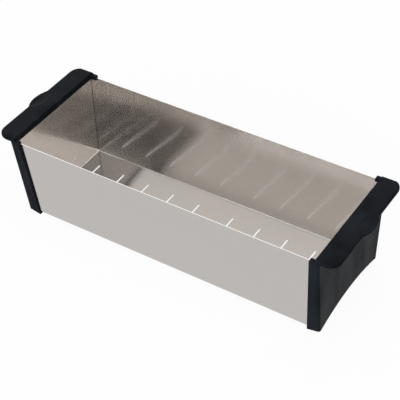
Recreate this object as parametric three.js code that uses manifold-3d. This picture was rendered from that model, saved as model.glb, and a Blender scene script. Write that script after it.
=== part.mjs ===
// Sink strainer tray: a folded steel tray with a slotted floor, held between two moulded end caps
// whose lips lie on the edges of the sink. Millimetres, +Z up, X along the tray, and the origin
// under the middle of it, on the surface that the caps' feet stand on.

import * as THREE from 'three';
import { mergeVertices } from 'three/addons/utils/BufferGeometryUtils.js';
import Module from 'manifold-3d';

// Steel tray
const RIM_LENGTH = 388.6;        // outside, end wall to end wall at the rim
const RIM_WIDTH = 144.7;         // outside, across the long walls at the rim
const TRAY_DEPTH = 107;          // underside of the floor to the rim
const END_LEAN = 5.9;            // each end wall leans in by this from rim to floor
const SIDE_LEAN = 8.4;           // each long wall leans in by this from rim to floor
const SHEET = 0.8;               // sheet thickness
const FOLD_RADIUS = 2.5;         // outside radius of the folds round the floor
const SEAM = 0.4;                // open seam between a long wall and an end wall
const SEAM_START = 4;            // the seams start this far above the floor
const SEAM_BITE = 0.08;          // the seam runs this far into the long wall, so that the end wall is clear of it

// Slots across the floor, in two groups
const SLOTS_PER_GROUP = 5;
const SLOT_WIDTH = 2;
const SLOT_PITCH = 36.4;
const GROUP_GAP = 47;            // between the two slots either side of the middle
const SLOT_MARGIN = 23.9;        // floor edge to the end of a slot

// End caps
const CLEARANCE = 0.3;           // between the steel and the plastic all round
const FOOT_HEIGHT = 3.3;         // feet to the underside of the steel floor
const END_WALL = 2.2;            // skin of the end face
const END_FACE_OUT = 2.7;        // the end face stands out past the rim by this, at the top
const END_FACE_DRAFT = 1.6;      // the end face leans in by this down to the feet
const FLANGE_TOP = 3.3;          // the flanges stand proud of the steel by this at the rim
const FLANGE_BOTTOM = 1.8;       // and by this at the floor
const FLANGE_REACH_TOP = 11.7;   // end face to the flange's free edge, at the rim
const FLANGE_REACH_BOTTOM = 16.1;
const CORNER_RADIUS = 2.5;       // upright corners of the cap
const CAP_EDGE = 0.9;            // rounding of the cap's top and bottom edges
const ARM_RISE = 2;              // the channel's top above the rim
const CHANNEL_LEG = 1.2;         // the channel's inner leg
const CHANNEL_GRIP = 2.6;        // the inner leg reaches this far below the rim
const BOTTOM_RISE = 3.2;         // the underside rises by this from the flanges' free edges to the end face
const FOOT_LENGTH = 15;          // each foot along the end, inwards from the floor's edge
const PAD_LENGTH = 9.5;          // flat pad under each foot, along the tray
const PAD_INSET = 1.2;           // the pads stand in from the flanges' free edges and from the floor's edges
const ARCH_RISE = 10.3;          // the end face's lower edge arches up by this
const RIBS = 3;                  // upright ribs behind the end face
const RIB = 1.8;
const CORE_BELOW_RIM = 12;       // the hollow behind the end face stops this far below the rim
const RIB_START = 14;            // the ribs start this far above the feet

// Lip and finger tab
const LIP_RISE = 5.3;            // top of the lip above the rim
const LIP_THICKNESS = 5;
const LIP_REACH = 19.7;          // end face to the lip's straight outer edge
const LIP_SETBACK = 0.3;         // each end of the lip stands in from the flange's face by this
const LIP_ROOT = 1.3;            // the lip's riser goes this deep into the end face
const LIP_CORNER = 14;           // plan radius of the lip's outer corners
const LIP_END_EDGE = 4.4;        // rounding of the top along the lip's two short ends
const LIP_FILLET = 3.5;          // under the lip, against the end face
const TAB_WIDTH = 35;
const TAB_OUT = 5.2;             // the tab runs out past the lip's edge by this
const DISH_IN = 11.5;            // the tab's finger dish starts this far inside the lip's edge
const DISH_DEPTH = 2;
const DISH_RISE = 1;             // the middle of the body that the dish is cut with lies this far above the lip

// Facets
const FOLD_STEPS = 6;
const SLOT_STEPS = 8;
const CORNER_STEPS = 6;
const ARCH_STEPS = 24;
const NOSE_STEPS = 6;
const EDGE_STEPS = 3;
const TAB_STATIONS = 7;
const DISH_STEPS = 32;

// Finishes
const STEEL = { color: 0xbab6b1, roughness: 0.32, metalness: 1 };
const PLASTIC = { color: 0x2a2b2e, roughness: 0.5, metalness: 0 };

// Heights and half sizes that follow from them
const rimZ = FOOT_HEIGHT + TRAY_DEPTH;
const armZ = rimZ + ARM_RISE;
const lipZ = rimZ + LIP_RISE;
const floorHalfLength = RIM_LENGTH / 2 - END_LEAN;
const floorHalfWidth = RIM_WIDTH / 2 - SIDE_LEAN;
const endFaceTop = RIM_LENGTH / 2 + END_FACE_OUT;
const lipEdge = endFaceTop + LIP_REACH;
const BEYOND = 20;               // how far cutting shapes run past what they cut
const SAME_POINT = 1e-4;         // corners nearer than this are one

const wasm = await Module();
wasm.setup();

function solid(geometry) {
  const bare = geometry.clone();
  bare.deleteAttribute('normal');
  bare.deleteAttribute('uv');
  const merged = mergeVertices(bare, SAME_POINT);
  const vertProperties = new Float32Array(merged.attributes.position.array);
  const triVerts = new Uint32Array(merged.index.array);
  return new wasm.Manifold(new wasm.Mesh({ numProp: 3, vertProperties, triVerts }));
}

function geometryOf(manifold) {
  const mesh = manifold.getMesh();
  const geometry = new THREE.BufferGeometry();
  geometry.setAttribute('position', new THREE.BufferAttribute(mesh.vertProperties, 3));
  geometry.setIndex(new THREE.BufferAttribute(mesh.triVerts, 1));
  geometry.computeVertexNormals();
  return geometry;
}

// A block between two corners.
function block(x0, x1, y0, y1, z0, z1) {
  const geometry = new THREE.BoxGeometry(x1 - x0, y1 - y0, z1 - z0);
  return solid(geometry.translate((x0 + x1) / 2, (y0 + y1) / 2, (z0 + z1) / 2));
}

// An outline drawn across X (its x is Y, its y is Z) and drawn out along X.
function alongX(shape, x0, x1, curveSegments) {
  const geometry = new THREE.ExtrudeGeometry(shape, { depth: x1 - x0, bevelEnabled: false, curveSegments });
  geometry.rotateX(Math.PI / 2).rotateZ(Math.PI / 2);
  return solid(geometry.translate(x0, 0, 0));
}

// The same, drawn across Y (its x is X, its y is Z) and drawn out along Y.
function alongY(shape, y0, y1, curveSegments) {
  const geometry = new THREE.ExtrudeGeometry(shape, { depth: y1 - y0, bevelEnabled: false, curveSegments });
  geometry.rotateX(Math.PI / 2);
  return solid(geometry.translate(0, y1, 0));
}

// Section of the folded tray, set in from the steel's outside by `inset`: a level floor, two walls that
// lean out, and a fold between them whose radius shrinks with the inset.
function foldedSection(floorHalf, lean, inset, top) {
  const tilt = Math.atan2(lean, TRAY_DEPTH);
  const radius = FOLD_RADIUS - inset;
  const floorZ = FOOT_HEIGHT + inset;
  const wallAt = (z) => floorHalf + (z - FOOT_HEIGHT) * Math.tan(tilt) - inset / Math.cos(tilt);
  const corner = wallAt(floorZ);
  const tangent = radius / Math.tan((Math.PI / 2 + tilt) / 2);
  const shape = new THREE.Shape();
  shape.moveTo(wallAt(top), top);
  shape.lineTo(-wallAt(top), top);
  shape.absarc(-corner + tangent, floorZ + radius, radius, Math.PI + tilt, 1.5 * Math.PI, false);
  shape.absarc(corner - tangent, floorZ + radius, radius, 1.5 * Math.PI, 2 * Math.PI - tilt, false);
  return shape;
}

// The space inside the steel's outside, set in by `inset` (or out, if negative), up to `top`.
function trayBody(inset, top) {
  const across = foldedSection(floorHalfWidth, SIDE_LEAN, inset, top);
  const along = foldedSection(floorHalfLength, END_LEAN, inset, top);
  const length = RIM_LENGTH / 2 + BEYOND;
  const width = RIM_WIDTH / 2 + BEYOND;
  return alongX(across, -length, length, FOLD_STEPS).intersect(alongY(along, -width, width, FOLD_STEPS));
}

function slotCutter(x) {
  const radius = SLOT_WIDTH / 2;
  const reach = floorHalfWidth - SLOT_MARGIN - radius;
  const shape = new THREE.Shape();
  shape.absarc(x, reach, radius, 0, Math.PI, false);
  shape.absarc(x, -reach, radius, Math.PI, 2 * Math.PI, false);
  const depth = FOOT_HEIGHT + FOLD_RADIUS;
  const geometry = new THREE.ExtrudeGeometry(shape, { depth, bevelEnabled: false, curveSegments: SLOT_STEPS });
  return solid(geometry);
}

// The open seam beside a long wall, through the end wall only.
function seamCutter(endSide, longSide) {
  const tilt = Math.atan2(SIDE_LEAN, TRAY_DEPTH);
  const wallAt = (z, inset) => floorHalfWidth + (z - FOOT_HEIGHT) * Math.tan(tilt) - inset / Math.cos(tilt);
  const low = FOOT_HEIGHT + SEAM_START;
  const high = rimZ + BEYOND;
  const outer = SHEET - SEAM_BITE;
  const inner = SHEET + SEAM;
  const shape = new THREE.Shape([
    new THREE.Vector2(longSide * wallAt(low, inner), low),
    new THREE.Vector2(longSide * wallAt(low, outer), low),
    new THREE.Vector2(longSide * wallAt(high, outer), high),
    new THREE.Vector2(longSide * wallAt(high, inner), high),
  ]);
  const near = floorHalfLength - SHEET - FOLD_RADIUS;
  const far = RIM_LENGTH / 2 + BEYOND;
  return endSide > 0 ? alongX(shape, near, far, 1) : alongX(shape, -far, -near, 1);
}

function steelTray() {
  let tray = trayBody(0, rimZ).subtract(trayBody(SHEET, rimZ + BEYOND));
  for (let i = 0; i < SLOTS_PER_GROUP; i += 1) {
    const x = GROUP_GAP / 2 + i * SLOT_PITCH;
    tray = tray.subtract(slotCutter(x)).subtract(slotCutter(-x));
  }
  for (const endSide of [-1, 1]) {
    for (const longSide of [-1, 1]) {
      tray = tray.subtract(seamCutter(endSide, longSide));
    }
  }
  return geometryOf(tray);
}

// Draft of the cap, from the feet (0) to the top of its channel (1).
const capShare = (z) => z / armZ;
const endFaceAt = (z) => endFaceTop - END_FACE_DRAFT * (1 - capShare(z));
const flangeEdgeAt = (z) =>
  endFaceAt(z) - THREE.MathUtils.lerp(FLANGE_REACH_BOTTOM, FLANGE_REACH_TOP, capShare(z));
function flangeFaceAt(z) {
  const steel = floorHalfWidth + (z - FOOT_HEIGHT) * (SIDE_LEAN / TRAY_DEPTH);
  return steel + THREE.MathUtils.lerp(FLANGE_BOTTOM, FLANGE_TOP, capShare(z));
}

// The cap's outside below the lip: a block with rounded upright corners and edges, drawn up from the
// feet and drafted on all four sides, with its underside rising towards the end face.
function capBlock() {
  const x0 = flangeEdgeAt(0);
  const x1 = endFaceAt(0);
  const y1 = flangeFaceAt(0);
  const r = CORNER_RADIUS;
  const shape = new THREE.Shape();
  shape.absarc(x1 - r, y1 - r, r - CAP_EDGE, 0, Math.PI / 2, false);
  shape.lineTo(x0 + CAP_EDGE, y1 - CAP_EDGE);
  shape.lineTo(x0 + CAP_EDGE, -y1 + CAP_EDGE);
  shape.absarc(x1 - r, -y1 + r, r - CAP_EDGE, 1.5 * Math.PI, 2 * Math.PI, false);
  const geometry = new THREE.ExtrudeGeometry(shape, {
    depth: armZ - 2 * CAP_EDGE,
    bevelThickness: CAP_EDGE,
    bevelSize: CAP_EDGE,
    bevelSegments: EDGE_STEPS,
    curveSegments: CORNER_STEPS,
  });
  geometry.translate(0, 0, CAP_EDGE);
  const at = geometry.attributes.position;
  for (let i = 0; i < at.count; i += 1) {
    const z = at.getZ(i);
    const share = (at.getX(i) - x0) / (x1 - x0);
    at.setX(i, THREE.MathUtils.lerp(flangeEdgeAt(z), endFaceAt(z), share));
    at.setY(i, (at.getY(i) / y1) * flangeFaceAt(z));
    at.setZ(i, z + BOTTOM_RISE * share * (1 - capShare(z)));
  }
  return solid(geometry);
}

const lipHalfWidth = flangeFaceAt(armZ) - LIP_SETBACK;

// Plan of the lip: how far out its edge lies at y, with round corners and the tab's bulge.
function lipEdgeAt(y) {
  const fromCorner = Math.abs(y) - (lipHalfWidth - LIP_CORNER);
  if (fromCorner > 0) {
    return lipEdge - LIP_CORNER + Math.sqrt(Math.max(LIP_CORNER ** 2 - fromCorner ** 2, 0));
  }
  return lipEdge + TAB_OUT * Math.max(1 - (y / (TAB_WIDTH / 2)) ** 2, 0);
}

// Section of the lip at y: the riser over the end wall, the level top that rounds down at the lip's
// ends, a round nose, the underside and the fillet down to the end face.
function lipSection(y) {
  const fromEnd = Math.max(Math.abs(y) - (lipHalfWidth - LIP_END_EDGE), 0);
  const top = lipZ - LIP_END_EDGE + Math.sqrt(Math.max(LIP_END_EDGE ** 2 - fromEnd ** 2, 0));
  const underside = lipZ - LIP_THICKNESS;
  const nose = (top - underside) / 2;
  const noseStart = lipEdgeAt(y) - nose;
  const inside = RIM_LENGTH / 2 - SHEET - CLEARANCE - CHANNEL_LEG;
  const wallBack = endFaceTop - LIP_ROOT;
  const fold = endFaceTop + LIP_FILLET;
  const points = [[inside, rimZ], [inside, top]];
  for (let i = 0; i <= NOSE_STEPS; i += 1) {
    const turn = (i / NOSE_STEPS) * Math.PI;
    points.push([noseStart + nose * Math.sin(turn), underside + nose * (1 + Math.cos(turn))]);
  }
  for (let i = 0; i <= NOSE_STEPS; i += 1) {
    const turn = (i / NOSE_STEPS) * (Math.PI / 2);
    points.push([fold - LIP_FILLET * Math.sin(turn), underside - LIP_FILLET * (1 - Math.cos(turn))]);
  }
  points.push([wallBack, underside - LIP_FILLET], [wallBack, rimZ]);
  return points;
}

// Places across the lip where a section is drawn: close together round the corners and over the tab.
function lipStations() {
  const ys = [];
  for (let i = 0; i <= CORNER_STEPS; i += 1) {
    const turn = (i / CORNER_STEPS) * (Math.PI / 2);
    ys.push(lipHalfWidth - LIP_CORNER + LIP_CORNER * Math.sin(turn));
  }
  for (let i = 1; i < EDGE_STEPS; i += 1) {
    ys.push(lipHalfWidth - LIP_END_EDGE * (1 - i / EDGE_STEPS));
  }
  for (let i = 1; i <= TAB_STATIONS; i += 1) {
    ys.push((TAB_WIDTH / 2) * (i / TAB_STATIONS));
  }
  return [...ys.map((y) => -y), 0, ...ys].sort((a, b) => a - b);
}

function lip() {
  const stations = lipStations();
  const sections = stations.map(lipSection);
  const count = sections[0].length;
  const positions = sections.flatMap((section, i) => section.flatMap(([x, z]) => [x, stations[i], z]));
  const faces = [];
  for (let i = 0; i + 1 < stations.length; i += 1) {
    for (let j = 0; j < count; j += 1) {
      const a = i * count + j;
      const b = i * count + ((j + 1) % count);
      faces.push(a, b, b + count, a, b + count, a + count);
    }
  }
  const outline = sections[0].map(([x, z]) => new THREE.Vector2(x, z));
  const last = (stations.length - 1) * count;
  for (const [a, b, c] of THREE.ShapeUtils.triangulateShape(outline, [])) {
    faces.push(a, b, c, last + c, last + b, last + a);
  }
  const geometry = new THREE.BufferGeometry();
  geometry.setAttribute('position', new THREE.Float32BufferAttribute(positions, 3));
  geometry.setIndex(faces);
  return solid(geometry);
}

// The finger dish in the tab: the lower part of an ellipsoid.
function dishCutter() {
  const height = DISH_DEPTH + DISH_RISE;
  const spread = 1 / Math.sqrt(1 - (DISH_RISE / height) ** 2);
  const geometry = new THREE.SphereGeometry(1, DISH_STEPS, DISH_STEPS / 2);
  geometry.scale(DISH_IN * spread, (TAB_WIDTH / 2) * spread, height);
  return solid(geometry.translate(lipEdge, 0, lipZ + DISH_RISE));
}

// Flat pads that the feet stand on.
function pads() {
  const x0 = flangeEdgeAt(0) + PAD_INSET;
  const y0 = floorHalfWidth - FOOT_LENGTH - PAD_INSET;
  const y1 = floorHalfWidth - PAD_INSET;
  const pad = block(x0, x0 + PAD_LENGTH, y0, y1, 0, FOOT_HEIGHT);
  return pad.add(pad.mirror([0, 1, 0]));
}

// The end face's lower edge arches up between the feet.
function archCutter() {
  const half = flangeFaceAt(0);
  const shape = new THREE.Shape();
  shape.moveTo(-half - BEYOND, -BEYOND);
  shape.lineTo(half + BEYOND, -BEYOND);
  shape.lineTo(half + BEYOND, BOTTOM_RISE);
  for (let i = 0; i <= ARCH_STEPS; i += 1) {
    const y = half * (1 - (2 * i) / ARCH_STEPS);
    shape.lineTo(y, BOTTOM_RISE + ARCH_RISE * (1 - (y / half) ** 2));
  }
  shape.lineTo(-half - BEYOND, BOTTOM_RISE);
  const skin = endFaceAt(0) - END_WALL;
  return alongX(shape, skin, endFaceTop + BEYOND, 1);
}

// The hollow behind the end face, in bays between upright ribs, and the space between the feet.
function coreCutters() {
  const half = floorHalfWidth - FOOT_LENGTH;
  const bay = (2 * half) / (RIBS + 1);
  const back = flangeEdgeAt(0) - BEYOND;
  const skin = endFaceAt(0) - END_WALL;
  const cutters = [block(back, skin, -half, half, -BEYOND, RIB_START)];
  for (let i = 0; i <= RIBS; i += 1) {
    const y0 = -half + i * bay + (i > 0 ? RIB / 2 : 0);
    const y1 = -half + (i + 1) * bay - (i < RIBS ? RIB / 2 : 0);
    cutters.push(block(back, skin, y0, y1, -BEYOND, rimZ - CORE_BELOW_RIM));
  }
  return cutters;
}

function endCap() {
  const gripZ = rimZ - CHANNEL_GRIP;
  const steelRoom = trayBody(-CLEARANCE, rimZ + CLEARANCE);
  const behindLeg = trayBody(SHEET + CLEARANCE, rimZ + BEYOND);
  const belowGrip = block(-BEYOND, lipEdge, -RIM_WIDTH, RIM_WIDTH, -BEYOND, gripZ);
  const channel = steelRoom.subtract(behindLeg).add(steelRoom.intersect(belowGrip));
  const opening = trayBody(SHEET + CLEARANCE + CHANNEL_LEG, lipZ + BEYOND);
  let cap = capBlock().add(pads()).add(lip());
  for (const cutter of [channel, opening, dishCutter(), archCutter(), ...coreCutters()]) {
    cap = cap.subtract(cutter);
  }
  return geometryOf(cap);
}

function named(name, geometry, finish) {
  const mesh = new THREE.Mesh(geometry, new THREE.MeshStandardMaterial(finish));
  mesh.name = name;
  return mesh;
}

const strainer = new THREE.Group();
strainer.add(named('steel_tray', steelTray(), STEEL));
const capGeometry = endCap();
strainer.add(named('end_cap_right', capGeometry, PLASTIC));
const leftCap = named('end_cap_left', capGeometry, PLASTIC);
leftCap.rotation.z = Math.PI;
strainer.add(leftCap);

export default strainer;
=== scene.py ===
"""A sink strainer tray: a folded, slotted steel tray between two moulded end caps, in metres."""

import math

import bmesh
import bpy
from mathutils import Euler, Matrix, Vector


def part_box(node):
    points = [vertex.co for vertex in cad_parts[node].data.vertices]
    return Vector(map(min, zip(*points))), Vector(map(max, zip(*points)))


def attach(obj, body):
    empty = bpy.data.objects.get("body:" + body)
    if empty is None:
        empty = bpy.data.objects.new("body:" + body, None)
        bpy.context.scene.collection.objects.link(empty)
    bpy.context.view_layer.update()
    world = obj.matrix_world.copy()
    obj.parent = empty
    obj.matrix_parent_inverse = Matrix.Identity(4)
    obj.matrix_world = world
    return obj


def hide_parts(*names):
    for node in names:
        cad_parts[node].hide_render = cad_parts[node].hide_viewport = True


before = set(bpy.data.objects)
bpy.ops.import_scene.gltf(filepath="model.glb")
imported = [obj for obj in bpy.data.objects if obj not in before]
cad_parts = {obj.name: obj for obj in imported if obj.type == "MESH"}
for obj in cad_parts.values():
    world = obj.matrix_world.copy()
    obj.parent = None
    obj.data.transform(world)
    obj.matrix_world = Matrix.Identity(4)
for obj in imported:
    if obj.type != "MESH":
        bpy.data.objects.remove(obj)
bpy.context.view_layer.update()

# Steel tray
# One blank of 0.8 mm stainless sheet, slotted through the floor and then folded up into four walls that
# lean out. The corners are left as open seams, and the cut edges are only deburred.
MM = 0.001
SHEET = 0.8 * MM
END_LEAN = 5.9 * MM             # an end wall leans in by this from rim to floor
SIDE_LEAN = 8.4 * MM            # and a long wall by this
FOLD_RADIUS = 2.5 * MM          # outside radius of the folds round the floor
FOLD_STEPS = 8
BURR = 0.12 * MM                # rounding of the cut edges
CUT_ANGLE = math.radians(60)    # an edge that turns more than this is a sharp one, to be rounded
SMOOTH_ANGLE = math.radians(35)
SAME_HEIGHT = 0.01 * MM
steel_low, steel_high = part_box("steel_tray")
rim_half_length, rim_half_width, rim_z = steel_high
floor_z = steel_low.z
tray_depth = rim_z - floor_z


def select(piece, kind, test):
    """In edit mode, leaves selected just the points, edges or faces that pass the test."""
    bpy.ops.mesh.select_mode(type=kind)
    bpy.ops.mesh.select_all(action="DESELECT")
    mesh = bmesh.from_edit_mesh(piece.data)
    for part in {"VERT": mesh.verts, "EDGE": mesh.edges, "FACE": mesh.faces}[kind]:
        part.select_set(test(part))
    mesh.select_flush_mode()
    bmesh.update_edit_mesh(piece.data)


def at_height(z):
    """A test for edges that lie at one height."""
    return lambda edge: all(abs(point.co.z - z) < SAME_HEIGHT for point in edge.verts)


def block(name, low, high):
    """A cube between two corners, with its place in its mesh."""
    bpy.ops.object.select_all(action="DESELECT")
    bpy.ops.mesh.primitive_cube_add(size=1, location=(Vector(low) + Vector(high)) / 2)
    piece = bpy.context.object
    piece.name = name
    piece.scale = Vector(high) - Vector(low)
    bpy.ops.object.transform_apply(location=True, rotation=False, scale=True)
    return piece


def tray_hull(name, inset, top):
    """The body inside the steel's outside, set in from it all round, from the floor up to a height."""
    bottom = floor_z + inset

    def half_size(rim_half, lean, z):
        slope = lean / tray_depth
        return rim_half - (rim_z - z) * slope - inset * math.hypot(1, slope)

    def corner(z):
        return Vector((half_size(rim_half_length, END_LEAN, z), half_size(rim_half_width, SIDE_LEAN, z)))

    at_top = corner(top)
    at_bottom = corner(bottom)
    hull = block(name, (-at_top.x, -at_top.y, bottom), (at_top.x, at_top.y, top))
    bpy.ops.object.mode_set(mode="EDIT")
    select(hull, "FACE", lambda face: face.normal.z < -0.5)
    draw_in = (at_bottom.x / at_top.x, at_bottom.y / at_top.y, 1)
    bpy.ops.transform.resize(value=draw_in, center_override=(0, 0, bottom))
    bpy.ops.object.mode_set(mode="OBJECT")
    return hull


def make_active(piece):
    """Selects one piece alone and makes it the active one."""
    bpy.ops.object.select_all(action="DESELECT")
    piece.select_set(True)
    bpy.context.view_layer.objects.active = piece


def finish_with(piece, kind, **settings):
    """Adds a modifier with its settings and applies it."""
    make_active(piece)
    modifier = piece.modifiers.new(kind.lower(), kind)
    for name, value in settings.items():
        setattr(modifier, name, value)
    bpy.ops.object.modifier_apply(modifier=modifier.name)


def combine(piece, operation, other):
    """Cuts another body out of a piece, or joins it on, and uses the other body up."""
    finish_with(piece, "BOOLEAN", operation=operation, solver="EXACT", object=other)
    bpy.data.objects.remove(other)


def smooth(piece):
    """Smooth shading over round edges, with the flat faces kept flat."""
    make_active(piece)
    bpy.ops.object.shade_smooth_by_angle(angle=SMOOTH_ANGLE)
    finish_with(piece, "WEIGHTED_NORMAL", keep_sharp=True, weight=100)


tray = tray_hull("folded_tray", 0, rim_z)
bpy.ops.object.mode_set(mode="EDIT")
select(tray, "FACE", lambda face: face.normal.z > 0.5)
bpy.ops.mesh.delete(type="ONLY_FACE")
select(tray, "EDGE", at_height(floor_z))
fold_turn = math.pi / 2 - math.atan2(SIDE_LEAN, tray_depth)
bpy.ops.mesh.bevel(offset=FOLD_RADIUS * math.tan(fold_turn / 2), segments=FOLD_STEPS, affect="EDGES")
bpy.ops.object.mode_set(mode="OBJECT")
finish_with(tray, "SOLIDIFY", thickness=SHEET, offset=-1, use_even_offset=True, use_quality_normals=True)

# Slots across the floor, five each side of the middle, with round ends.
SLOT_WIDTH = 2 * MM
SLOT_PITCH = 36.4 * MM
SLOT_COUNT = 5
GROUP_GAP = 47 * MM             # between the two slots either side of the middle
SLOT_MARGIN = 23.9 * MM         # floor edge to the end of a slot
SLOT_ROUND = 0.49 * SLOT_WIDTH  # just under half, so that the two corners of an end stay apart
SLOT_STEPS = 6
slot_reach = rim_half_width - SIDE_LEAN - SLOT_MARGIN
slot_half = Vector((SLOT_WIDTH / 2, slot_reach, FOLD_RADIUS))
slot_middle = Vector((GROUP_GAP / 2, 0, floor_z))
slots = block("slots", slot_middle - slot_half, slot_middle + slot_half)
bpy.ops.object.mode_set(mode="EDIT")
select(slots, "EDGE", lambda edge: abs(edge.verts[0].co.z - edge.verts[1].co.z) > SHEET)
bpy.ops.mesh.bevel(offset=SLOT_ROUND, segments=SLOT_STEPS, affect="EDGES")
bpy.ops.object.mode_set(mode="OBJECT")
finish_with(
    slots, "ARRAY", count=SLOT_COUNT, use_relative_offset=False, use_constant_offset=True,
    constant_offset_displace=(SLOT_PITCH, 0, 0),
)
finish_with(slots, "MIRROR", use_axis=(True, False, False))
combine(tray, "DIFFERENCE", slots)
finish_with(tray, "BEVEL", width=BURR, segments=2, limit_method="ANGLE", angle_limit=CUT_ANGLE)

# Open seams beside the long walls, through the end walls only.
SEAM = 0.6 * MM                 # a little wider than the real seam, which would be lost in the picture
SEAM_START = 4 * MM             # above the floor
SEAM_RUN = 12 * MM              # past the end wall on both sides of it
seam_low = floor_z + SEAM_START
seam_high = rim_z + SEAM_START
side_slope = SIDE_LEAN / tray_depth
seam_y = rim_half_width - (rim_z - seam_low) * side_slope - SHEET * math.hypot(1, side_slope)
seams = block(
    "seams",
    (rim_half_length - SEAM_RUN, seam_y - SEAM, seam_low),
    (rim_half_length + SEAM_RUN, seam_y, seam_high),
)
bpy.ops.object.mode_set(mode="EDIT")
select(seams, "FACE", lambda face: face.normal.z > 0.5)
bpy.ops.transform.translate(value=(0, (seam_high - seam_low) * side_slope, 0))
bpy.ops.object.mode_set(mode="OBJECT")
finish_with(seams, "MIRROR", use_axis=(True, True, False), use_mirror_merge=False)
combine(tray, "DIFFERENCE", seams)
smooth(tray)


def linear(colour):
    """An sRGB hex colour as linear red, green, blue and alpha."""
    shares = [int(colour[i:i + 2], 16) / 255 for i in (1, 3, 5)]
    return [s / 12.92 if s <= 0.04045 else ((s + 0.055) / 1.055) ** 2.4 for s in shares] + [1]


def add(tree, kind, sockets, **settings):
    """Adds a node with its settings. Each socket gets a number or colour, or a link from another node."""
    made = tree.nodes.new(kind)
    for name, value in settings.items():
        setattr(made, name, value)
    for name, value in sockets.items():
        if isinstance(value, bpy.types.NodeSocket):
            tree.links.new(value, made.inputs[name])
        else:
            made.inputs[name].default_value = value
    return made


# Brushed stainless steel, drawn through an abrasive belt along the sheet: its fine straight scratches spread
# a reflection wide across them and keep it sharp along them. On the folded-up end walls they run upright.
# The sheared rim is drawn lighter than the steel, a painted highlight for the bright line along it.
STEEL = ("#d2ceca", "#d9d5d1")
# a lighter steel colour for the rim: a painted highlight
RIM_PAINTED_HIGHLIGHT = ("#efedea", "#f8f6f3")
SCRATCH_SPACING = 0.9           # mm; the real scratches are finer than a pixel, so these are drawn coarser
SCRATCH_LENGTH = 60             # mm
ROLL_PATCH = 90                 # mm across the faint patches that rolling the sheet left
GLOSS = (0.115, 0.135)          # roughness between the scratches and in them
ROLL_UNEVEN = 0.01              # how much the patches add to the roughness or take off
ANISOTROPY = 0.85
NOISE_LOW, NOISE_HIGH = 0.3, 0.7    # the range that most of a noise lies in
END_FACING = 0.9                # a face whose normal runs along the tray by more than this is on an end wall


def new_material(name):
    """A new material with an empty node tree, and that tree."""
    material = bpy.data.materials.new(name)
    material.use_nodes = True
    material.node_tree.nodes.clear()
    return material, material.node_tree


def spread(tree, noise, low, high):
    """Spreads a noise over the values from low to high."""
    return add(tree, "ShaderNodeMapRange", {
        "Value": noise, "From Min": NOISE_LOW, "From Max": NOISE_HIGH, "To Min": low, "To Max": high,
    }).outputs[0]


def brushed_stainless(name, along, colours):
    """The steel's finish, with scratches along one axis, between a darker and a lighter colour."""
    material, tree = new_material(name)
    place = add(tree, "ShaderNodeTexCoord", {}).outputs["Object"]
    fine = 1 / (SCRATCH_SPACING * MM)
    stretch = [1 / (SCRATCH_LENGTH * MM) if axis == along else fine for axis in "XYZ"]
    drawn = add(tree, "ShaderNodeMapping", {"Vector": place, "Scale": stretch}).outputs[0]
    scratch = add(tree, "ShaderNodeTexNoise", {
        "Vector": drawn, "Scale": 1, "Detail": 3, "Roughness": 0.6,
    }).outputs[0]
    patch_scale = 1 / (ROLL_PATCH * MM)
    patch = add(tree, "ShaderNodeTexNoise", {"Vector": place, "Scale": patch_scale, "Detail": 1}).outputs[0]
    tone = add(tree, "ShaderNodeMix", {
        0: scratch, 6: linear(colours[0]), 7: linear(colours[1]),
    }, data_type="RGBA").outputs[2]
    gloss = spread(tree, scratch, *GLOSS)
    uneven = spread(tree, patch, -ROLL_UNEVEN, ROLL_UNEVEN)
    roughness = add(tree, "ShaderNodeMath", {0: gloss, 1: uneven}, operation="ADD").outputs[0]
    across = add(tree, "ShaderNodeTangent", {}, direction_type="RADIAL", axis=along).outputs[0]
    shader = add(tree, "ShaderNodeBsdfPrincipled", {
        "Base Color": tone, "Metallic": 1, "Roughness": roughness,
        "Anisotropic": ANISOTROPY, "Tangent": across,
    }).outputs[0]
    add(tree, "ShaderNodeOutputMaterial", {"Surface": shader})
    return material


tray.data.materials.append(brushed_stainless("brushed_stainless_along", "X", STEEL))
tray.data.materials.append(brushed_stainless("brushed_stainless_upright", "Z", STEEL))
tray.data.materials.append(brushed_stainless("stainless_rim_painted_highlight", "X", RIM_PAINTED_HIGHLIGHT))
for face in tray.data.polygons:
    # the faces along the rim take the lighter colour, a painted highlight
    if face.center.z > rim_z - 2 * BURR:
        face.material_index = 2
    elif abs(face.normal.x) > END_FACING:
        face.material_index = 1
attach(tray, "root")
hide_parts("steel_tray")

# End caps
# Two like mouldings in black ABS, pushed down over the rim at each end: an end face, a flange round each
# long wall, a channel that grips the rim, feet, and a lip with a finger tab for the edge of the sink.
CLEARANCE = 0.3 * MM
END_FACE_OUT = 2.7 * MM         # the end face stands out past the rim by this, at the top
END_FACE_DRAFT = 1.6 * MM       # and leans in by this down to the feet
END_WALL = 2.2 * MM
FLANGE_TOP = 3.3 * MM           # the flanges stand proud of the steel by this at the rim
FLANGE_BOTTOM = 1.8 * MM        # and by this at the floor
FLANGE_REACH_TOP = 11.7 * MM    # end face to the flange's free edge
FLANGE_REACH_BOTTOM = 16.1 * MM
BOTTOM_RISE = 3.2 * MM          # the underside rises by this from the free edges to the end face
CORNER_RADIUS = 2.5 * MM
CORNER_STEPS = 6
CAP_EDGE = 0.9 * MM
EDGE_STEPS = 4
ARM_RISE = 2 * MM               # the channel's top above the rim
CHANNEL_LEG = 1.2 * MM
CHANNEL_GRIP = 2.6 * MM         # the inner leg reaches this far below the rim
BEYOND = 20 * MM                # how far cutting bodies run past what they cut
arm_z = rim_z + ARM_RISE
lip_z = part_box("end_cap_right")[1].z

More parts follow.
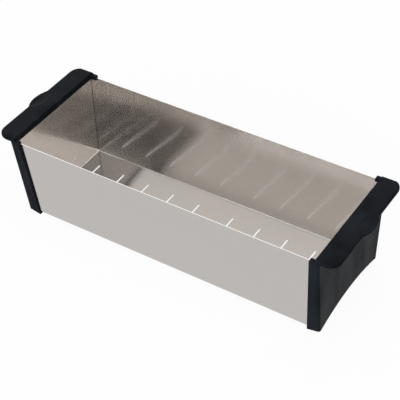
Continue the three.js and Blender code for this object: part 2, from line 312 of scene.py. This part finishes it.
end_top = rim_half_length + END_FACE_OUT
end_bottom = end_top - END_FACE_DRAFT
side_top = rim_half_width + ARM_RISE * side_slope + FLANGE_TOP
side_bottom = rim_half_width - rim_z * side_slope + FLANGE_BOTTOM
free_top = end_top - FLANGE_REACH_TOP
free_bottom = end_bottom - FLANGE_REACH_BOTTOM
cap = block("end_cap_moulding_right", (free_top, -side_top, 0), (end_top, side_top, arm_z))
bpy.ops.object.mode_set(mode="EDIT")
select(cap, "FACE", lambda face: face.normal.z < -0.5)
taper = ((end_bottom - free_bottom) / (end_top - free_top), side_bottom / side_top, 1)
bpy.ops.transform.resize(value=taper, center_override=((free_top + end_top) / 2, 0, 0))
bpy.ops.transform.translate(value=((free_bottom + end_bottom - free_top - end_top) / 2, 0, 0))
cap_middle = (free_top + end_top) / 2
select(cap, "VERT", lambda point: point.co.z < rim_z / 2 and point.co.x > cap_middle)
bpy.ops.transform.translate(value=(0, 0, BOTTOM_RISE))


def upright(edge):
    """A test for the cap's tall edges."""
    return abs(edge.verts[0].co.z - edge.verts[1].co.z) > tray_depth / 2


select(cap, "EDGE", lambda edge: upright(edge) and edge.verts[0].co.x > cap_middle)
bpy.ops.mesh.bevel(offset=CORNER_RADIUS, segments=CORNER_STEPS, affect="EDGES")
select(cap, "EDGE", lambda edge: not upright(edge) or edge.verts[0].co.x < cap_middle)
bpy.ops.mesh.bevel(offset=CAP_EDGE, segments=EDGE_STEPS, affect="EDGES")
bpy.ops.object.mode_set(mode="OBJECT")

combine(cap, "DIFFERENCE", tray_hull("inside", SHEET + CLEARANCE + CHANNEL_LEG, lip_z + BEYOND))
combine(cap, "DIFFERENCE", tray_hull("below_grip", -CLEARANCE, rim_z - CHANNEL_GRIP))
channel = tray_hull("channel", -CLEARANCE, rim_z + CLEARANCE)
combine(channel, "DIFFERENCE", tray_hull("channel_core", SHEET + CLEARANCE, rim_z + BEYOND))
combine(cap, "DIFFERENCE", channel)

# The pads under the feet, the hollow behind the end face, in bays between upright ribs, and the arch along
# its lower edge.
PAD_LENGTH = 9.5 * MM           # along the tray
PAD_INSET = 1.2 * MM            # from the flange's free edge and from the floor's edge
FOOT_LENGTH = 15 * MM           # inwards from the floor's edge
RIBS = 3
RIB = 1.8 * MM
RIB_START = 14 * MM             # above the feet
CORE_BELOW_RIM = 12 * MM        # the hollow stops this far below the rim
ARCH_RISE = 10.3 * MM
ROD_SIDES = 360
skin = end_bottom - END_WALL
floor_half = rim_half_width - SIDE_LEAN
core_half = floor_half - FOOT_LENGTH
pads = block(
    "pads",
    (free_bottom + PAD_INSET, core_half, 0),
    (free_bottom + PAD_INSET + PAD_LENGTH, floor_half - PAD_INSET, floor_z - CLEARANCE),
)
finish_with(pads, "MIRROR", use_axis=(False, True, False), use_mirror_merge=False)
combine(cap, "UNION", pads)
bay = 2 * core_half / (RIBS + 1)
bays = block(
    "bays",
    (free_bottom - BEYOND, -core_half + RIB / 2, -BEYOND),
    (skin, -core_half + bay - RIB / 2, rim_z - CORE_BELOW_RIM),
)
finish_with(
    bays, "ARRAY", count=RIBS + 1, use_relative_offset=False, use_constant_offset=True,
    constant_offset_displace=(0, bay, 0),
)
combine(cap, "DIFFERENCE", bays)
combine(cap, "DIFFERENCE", block(
    "between_feet", (free_bottom - BEYOND, -core_half, -BEYOND), (skin, core_half, RIB_START),
))


def rod(name, radius, length, middle, axis):
    """A long cylinder along X or Y, with its place in its mesh."""
    turn = {"X": (0, math.pi / 2, 0), "Y": (math.pi / 2, 0, 0)}[axis]
    bpy.ops.object.select_all(action="DESELECT")
    bpy.ops.mesh.primitive_cylinder_add(
        vertices=ROD_SIDES, radius=radius, depth=length, location=middle, rotation=turn,
    )
    piece = bpy.context.object
    piece.name = name
    bpy.ops.object.transform_apply(location=True, rotation=True, scale=False)
    return piece


arch_radius = (side_bottom ** 2 + ARCH_RISE ** 2) / (2 * ARCH_RISE)
arch_middle = (skin + BEYOND, 0, BOTTOM_RISE + ARCH_RISE - arch_radius)
combine(cap, "DIFFERENCE", rod("arch", arch_radius, 2 * BEYOND, arch_middle, "X"))

# Lip, drawn as a plate with round outer corners and the tab's bulge, rounded over at both ends. A shallow
# dish for a finger is scooped out of the tab, and a fillet runs along under the lip.
LIP_THICKNESS = 5 * MM
LIP_REACH = 19.7 * MM           # end face to the lip's straight outer edge
LIP_SETBACK = 0.3 * MM          # each end of the lip stands in from the flange's face by this
LIP_CORNER = 14 * MM
LIP_ROUND = 1.9 * MM            # rounding of the lip's outer edges
LIP_END_ROUND = 4.4 * MM        # and of its top along the two ends
LIP_CORNER_STEPS = 12
LIP_ROUND_STEPS = 6
LIP_FILLET = 3.5 * MM           # under the lip, against the end face
TAB_OUT = 5.2 * MM              # the tab runs out past the lip's edge by this
TAB_HALF = 17.5 * MM
TAB_MESH = 2 * MM               # spacing of the lines that let the tab bulge
DISH_IN = 11.5 * MM             # the dish starts this far inside the lip's edge
DISH_DEPTH = 2 * MM
DISH_RISE = 1 * MM              # middle of the scooping body above the lip
DISH_SEGMENTS = 96
lip_inner = rim_half_length - SHEET - CLEARANCE - CHANNEL_LEG
lip_edge = end_top + LIP_REACH
lip_half = side_top - LIP_SETBACK
underside = lip_z - LIP_THICKNESS
bpy.ops.object.select_all(action="DESELECT")
bpy.ops.mesh.primitive_plane_add(size=1, location=((lip_inner + lip_edge) / 2, 0, lip_z))
lip = bpy.context.object
lip.scale = (lip_edge - lip_inner, 2 * lip_half, 1)
bpy.ops.object.transform_apply(location=True, rotation=False, scale=True)
bpy.ops.object.mode_set(mode="EDIT")
select(lip, "VERT", lambda point: point.co.x > end_top)
bpy.ops.mesh.bevel(offset=LIP_CORNER, segments=LIP_CORNER_STEPS, affect="VERTICES")
tab_lines = math.ceil(TAB_HALF / TAB_MESH)
for i in range(-tab_lines, tab_lines + 1):
    bpy.ops.mesh.select_all(action="SELECT")
    bpy.ops.mesh.bisect(plane_co=(0, i * TAB_HALF / tab_lines, lip_z), plane_no=(0, 1, 0))
select(lip, "VERT", lambda point: point.co.x > lip_edge - LIP_ROUND and abs(point.co.y) < TAB_MESH / 2)
bpy.ops.transform.translate(
    value=(TAB_OUT, 0, 0), use_proportional_edit=True, proportional_edit_falloff="INVERSE_SQUARE",
    proportional_size=TAB_HALF,
)
bpy.ops.mesh.select_all(action="SELECT")
bpy.ops.mesh.dissolve_faces()
bpy.ops.object.mode_set(mode="OBJECT")
finish_with(lip, "SOLIDIFY", thickness=LIP_THICKNESS, offset=-1)


def lip_rim(edge):
    """A test for the edges round the lip's top and underside."""
    return edge.calc_face_angle(0) > CUT_ANGLE


def over_tray(edge):
    """A test for the lip's straight edges over the tray, which stay sharp."""
    return all(point.co.x < lip_inner + 0.1 * MM for point in edge.verts)


make_active(lip)
bpy.ops.object.mode_set(mode="EDIT")
select(lip, "EDGE", lambda edge: lip_rim(edge) and not over_tray(edge))
bpy.ops.mesh.bevel(offset=LIP_ROUND, segments=LIP_ROUND_STEPS, affect="EDGES")
bpy.ops.object.mode_set(mode="OBJECT")

end_round = block(
    "end_round",
    (lip_inner - BEYOND, lip_half - LIP_END_ROUND, lip_z - LIP_END_ROUND),
    (lip_edge + BEYOND, lip_half + BEYOND, lip_z + BEYOND),
)
round_middle = (lip_edge, lip_half - LIP_END_ROUND, lip_z - LIP_END_ROUND)
combine(end_round, "DIFFERENCE", rod("end_core", LIP_END_ROUND, 8 * BEYOND, round_middle, "X"))
finish_with(end_round, "MIRROR", use_axis=(False, True, False), use_mirror_merge=False)
combine(lip, "DIFFERENCE", end_round)

dish_height = DISH_DEPTH + DISH_RISE
dish_spread = 1 / math.sqrt(1 - (DISH_RISE / dish_height) ** 2)
bpy.ops.object.select_all(action="DESELECT")
dish_middle = (lip_edge, 0, lip_z + DISH_RISE)
bpy.ops.mesh.primitive_uv_sphere_add(
    segments=DISH_SEGMENTS, ring_count=DISH_SEGMENTS // 2, radius=1, location=dish_middle,
)
dish = bpy.context.object
dish.scale = (DISH_IN * dish_spread, TAB_HALF * dish_spread, dish_height)
bpy.ops.object.transform_apply(location=True, rotation=False, scale=True)
combine(lip, "DIFFERENCE", dish)

fillet_half = lip_half - CORNER_RADIUS
fillet = block(
    "fillet",
    (end_top - CAP_EDGE, -fillet_half, underside - LIP_FILLET),
    (end_top + LIP_FILLET, fillet_half, underside + LIP_ROUND),
)
fillet_middle = (end_top + LIP_FILLET, 0, underside - LIP_FILLET)
combine(fillet, "DIFFERENCE", rod("fillet_core", LIP_FILLET, 4 * lip_half, fillet_middle, "Y"))
combine(lip, "UNION", fillet)
combine(cap, "UNION", lip)
smooth(cap)

# Black ABS with a fine spark-eroded grain, which swallows most of its gloss: dull and a little blue, with a
# faint sheen that is uneven along the way the plastic flowed. Its colour is lighter in upright streaks, which
# are flow marks and painted sheen.
ABS_DARK = "#0e1013"
# the lighter tone of the streaks: flow marks and painted sheen
ABS_FLOW_MARK_AND_SHEEN = "#1b1e22"
GRAIN = 0.8                     # mm; the real grain is finer than a pixel, so it is drawn coarser
FLOW_WIDTH = 24                 # mm across the upright streaks: flow marks, lighter as painted sheen
FLOW_LENGTH = 70                # mm
ABS_ROUGHNESS = (0.46, 0.34)    # in the dark streaks and in the light ones
ABS_SHEEN = 0.028               # specular level; the grain leaves little of the usual 0.5
GRAIN_DEPTH = 0.05              # mm
black_abs, tree = new_material("black_abs_fine_grain")
place = add(tree, "ShaderNodeTexCoord", {}).outputs["Object"]
grain_scale = 1 / (GRAIN * MM)
grain = add(tree, "ShaderNodeTexNoise", {"Vector": place, "Scale": grain_scale, "Detail": 2}).outputs[0]
flow_scale = (1 / (FLOW_WIDTH * MM), 1 / (FLOW_WIDTH * MM), 1 / (FLOW_LENGTH * MM))
drawn = add(tree, "ShaderNodeMapping", {"Vector": place, "Scale": flow_scale}).outputs[0]
flow = add(tree, "ShaderNodeTexNoise", {"Vector": drawn, "Scale": 1, "Detail": 2}).outputs[0]
# lighter in the streaks: flow marks and painted sheen
flow_mark_and_sheen = spread(tree, flow, 0, 1)
tone = add(tree, "ShaderNodeMix", {
    0: flow_mark_and_sheen, 6: linear(ABS_DARK), 7: linear(ABS_FLOW_MARK_AND_SHEEN),
}, data_type="RGBA").outputs[2]
roughness = spread(tree, flow, *ABS_ROUGHNESS)
relief = add(tree, "ShaderNodeBump", {
    "Height": grain, "Strength": 0.1, "Distance": GRAIN_DEPTH * MM,
}).outputs[0]
shader = add(tree, "ShaderNodeBsdfPrincipled", {
    "Base Color": tone, "Roughness": roughness, "IOR": 1.5, "Specular IOR Level": ABS_SHEEN, "Normal": relief,
}).outputs[0]
add(tree, "ShaderNodeOutputMaterial", {"Surface": shader})
cap.data.materials.clear()
cap.data.materials.append(black_abs)

# The left cap is the same moulding, turned half a turn.
make_active(cap)
bpy.ops.object.duplicate()
left_cap = bpy.context.object
left_cap.name = "end_cap_moulding_left"
bpy.ops.transform.rotate(value=math.pi, orient_axis="Z", center_override=(0, 0, 0))
bpy.ops.object.transform_apply(location=True, rotation=True, scale=False)
for piece, node in ((cap, "end_cap_right"), (left_cap, "end_cap_left")):
    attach(piece, "root")
    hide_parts(node)

# Studio floor and light
# A pale floor that is white to the camera and light grey in the steel, with the tray's soft shadow left on
# it. The room is dim, with a wide low window in front, a soft box high above it, one on the right, a large
# one behind on the left and a small one overhead, which draws the bright lines along the folds.
FLOOR_SIZE = 12                 # metres
FLOOR_COLOUR = "#e0e0e0"
FLOOR_WHITE = 0.94              # how much of the floor's own shading plain white covers
FLOOR_IN_STEEL = 0.735          # brightness of the floor in reflections
bpy.ops.object.select_all(action="DESELECT")
bpy.ops.mesh.primitive_plane_add(size=FLOOR_SIZE)
floor = bpy.context.object
floor.name = "studio_floor"
pale_floor, tree = new_material("pale_floor")
ray = add(tree, "ShaderNodeLightPath", {}).outputs
paint = add(tree, "ShaderNodeBsdfDiffuse", {"Color": linear(FLOOR_COLOUR)}).outputs[0]
white = add(tree, "ShaderNodeEmission", {"Color": (1, 1, 1, 1), "Strength": 1}).outputs[0]
in_steel = add(tree, "ShaderNodeEmission", {"Color": (1, 1, 1, 1), "Strength": FLOOR_IN_STEEL}).outputs[0]
direct = add(tree, "ShaderNodeMath", {
    0: ray["Is Camera Ray"], 1: ray["Is Transmission Ray"],
}, operation="MAXIMUM").outputs[0]
share = add(tree, "ShaderNodeMath", {0: direct, 1: FLOOR_WHITE}, operation="MULTIPLY").outputs[0]
shown = add(tree, "ShaderNodeMixShader", {0: share, 1: paint, 2: white}).outputs[0]
mixed = add(tree, "ShaderNodeMixShader", {0: ray["Is Glossy Ray"], 1: shown, 2: in_steel}).outputs[0]
add(tree, "ShaderNodeOutputMaterial", {"Surface": mixed})
floor.data.materials.append(pale_floor)

ROOM = 0.11                     # brightness of the room between the lamps
LAMP_WHITE = "#ffffff"
DAYLIGHT = "#eef4ff"
SOFT_BOXES = (                  # bearing, height, half width, half height (degrees), edge, brightness, colour
    (-88, 26, 34, 11.5, 0.45, 4.7, DAYLIGHT),
    (-100, 56, 28, 10, 0.6, 1.02, LAMP_WHITE),
    (-6, 36, 33, 12, 0.5, 1.35, LAMP_WHITE),
    (118, 41, 38, 38, 0.24, 1.05, LAMP_WHITE),
    (30, 82, 13, 13, 0.6, 2.0, LAMP_WHITE),
)
world = bpy.data.worlds.new("studio_room")
bpy.context.scene.world = world
world.use_nodes = True
tree = world.node_tree
tree.nodes.clear()
toward = add(tree, "ShaderNodeTexCoord", {}).outputs["Generated"]
light = add(tree, "ShaderNodeBackground", {"Color": linear(LAMP_WHITE), "Strength": ROOM}).outputs[0]
for bearing, height, half_width, half_height, edge, brightness, colour in SOFT_BOXES:
    turn = Euler((0, math.radians(-height), math.radians(bearing)))
    wide = 2 * math.sin(math.radians(half_width) / 2)
    tall = 2 * math.sin(math.radians(half_height) / 2)
    aim = Vector((1, 0, 0))
    aim.rotate(turn)
    off = add(tree, "ShaderNodeMapping", {
        "Vector": toward, "Location": aim, "Rotation": turn, "Scale": (wide, wide, tall),
    }, vector_type="TEXTURE").outputs[0]
    share = add(tree, "ShaderNodeVectorMath", {0: off}, operation="LENGTH").outputs["Value"]
    glow = add(tree, "ShaderNodeMapRange", {
        "Value": share, "From Min": 1 + edge, "From Max": 1, "To Min": 0, "To Max": brightness,
    }, interpolation_type="SMOOTHSTEP").outputs[0]
    soft_box = add(tree, "ShaderNodeBackground", {"Color": linear(colour), "Strength": glow}).outputs[0]
    light = add(tree, "ShaderNodeAddShader", {0: light, 1: soft_box}).outputs[0]
add(tree, "ShaderNodeOutputWorld", {"Surface": light})

# Camera, where the photograph was taken from.
CAMERA_PLACE = Vector((591.9, -836.6, 956.2)) * MM
CAMERA_ASPECT = Matrix((
    (0.8396, -0.3318, 0.4302),
    (0.5416, 0.5739, -0.6142),
    (-0.0431, 0.7487, 0.6615),
))
SENSOR = 36                     # mm
LENS = 109.27                   # mm
bpy.ops.object.camera_add(location=CAMERA_PLACE, rotation=CAMERA_ASPECT.to_euler())
camera = bpy.context.object
camera.data.sensor_width = SENSOR
camera.data.lens = LENS
bpy.context.scene.camera = camera
bpy.context.scene.view_settings.view_transform = "Standard"
